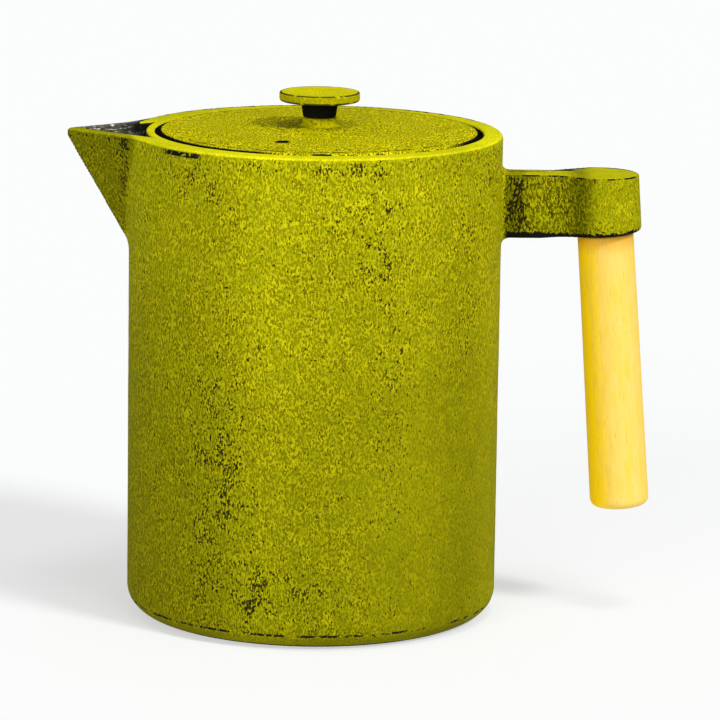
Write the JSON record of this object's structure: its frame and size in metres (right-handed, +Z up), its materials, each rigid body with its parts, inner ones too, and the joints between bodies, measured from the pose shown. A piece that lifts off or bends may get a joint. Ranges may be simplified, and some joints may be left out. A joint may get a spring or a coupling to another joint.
{
  "type": "cast iron teapot",
  "caption": "Cylindrical cast iron teapot with an open V-shaped spout, flat lift-off lid with a disc knob, lift-out strainer and an arm that holds a hanging wooden grip.",
  "frame": {"origin": "centre of the flat base, on the axis of the cylindrical body", "axes": "+Z up along the body's axis, +X towards the handle, spout towards -X, symmetric about the XZ plane"},
  "size_m": [0.1833, 0.116, 0.164],
  "materials": {
    "body_iron": "sand-cast grain, olive green over black, glossy black enamel inside",
    "lid_iron": "sand-cast grain, olive green over black on top",
    "knob_iron": "olive green over black",
    "screw_steel": "bright machined",
    "washer_rubber": "matt black",
    "strainer_steel": "satin, perforated",
    "grip_wood": "clear satin over pale close-grained wood",
    "insert_brass": "machined",
    "stud_steel": "zinc plated"
  },
  "bodies": {
    "pot": {"pot_body": "body_iron", "handle_grip": "grip_wood", "grip_insert": "insert_brass", "grip_stud": "stud_steel"},
    "basket": {"basket_rim": "strainer_steel", "basket_wall": "strainer_steel", "basket_base": "strainer_steel"},
    "lid": {"lid": "lid_iron", "lid_knob": "knob_iron", "knob_screw": "screw_steel", "knob_washer": "washer_rubber"}
  },
  "joints": [
    {"name": "basket_lift", "type": "slide", "parent": "pot", "child": "basket", "axis": [0, 0, 1], "range_m": [0, 0.125]},
    {"name": "lid_lift", "type": "slide", "parent": "basket", "child": "lid", "axis": [0, 0, 1], "range_m": [0, 0.05]}
  ]
}
